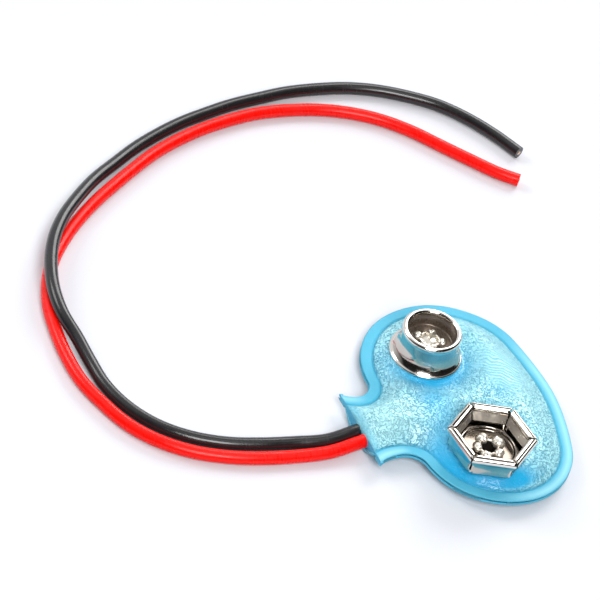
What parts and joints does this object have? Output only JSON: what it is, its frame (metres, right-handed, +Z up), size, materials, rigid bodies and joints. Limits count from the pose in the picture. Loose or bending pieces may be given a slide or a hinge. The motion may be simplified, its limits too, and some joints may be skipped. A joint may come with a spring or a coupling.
{
  "type": "9v battery snap",
  "caption": "Soft nine-volt battery snap: a welded vinyl cover with a round stud, a hexagonal petal socket and two coloured leads that leave at the neck.",
  "frame": {"origin": "On the floor, under the point midway between the axes of the stud and the socket.", "axes": "X runs from the stud to the socket, the leads leave the neck along -Y, and Z points up out of the terminals."},
  "size_m": [0.0565, 0.0568, 0.0059],
  "materials": {
    "vinyl": "sky-blue grained vinyl sheet, soft gloss",
    "fibre": "pressed vulcanised fibre, matte",
    "nickel": "nickel-plated drawn sheet, bright",
    "rivet": "plated rivet, satin",
    "tag_brass": "stamped brass",
    "black_pvc": "extruded PVC, glossy black",
    "red_pvc": "extruded PVC, glossy red",
    "strands": "twisted copper strands",
    "solder": "solidified solder"
  },
  "bodies": {
    "root": {"top_skin": "vinyl", "bottom_skin": "vinyl", "insulator_board": "fibre", "stud_terminal": "nickel", "socket_terminal": "nickel", "stud_rivet": "rivet", "socket_rivet": "rivet", "stud_tag": "tag_brass", "socket_tag": "tag_brass", "black_lead": "black_pvc", "red_lead": "red_pvc", "black_strands": "strands", "red_strands": "strands", "black_solder": "solder", "red_solder": "solder"}
  },
  "joints": []
}
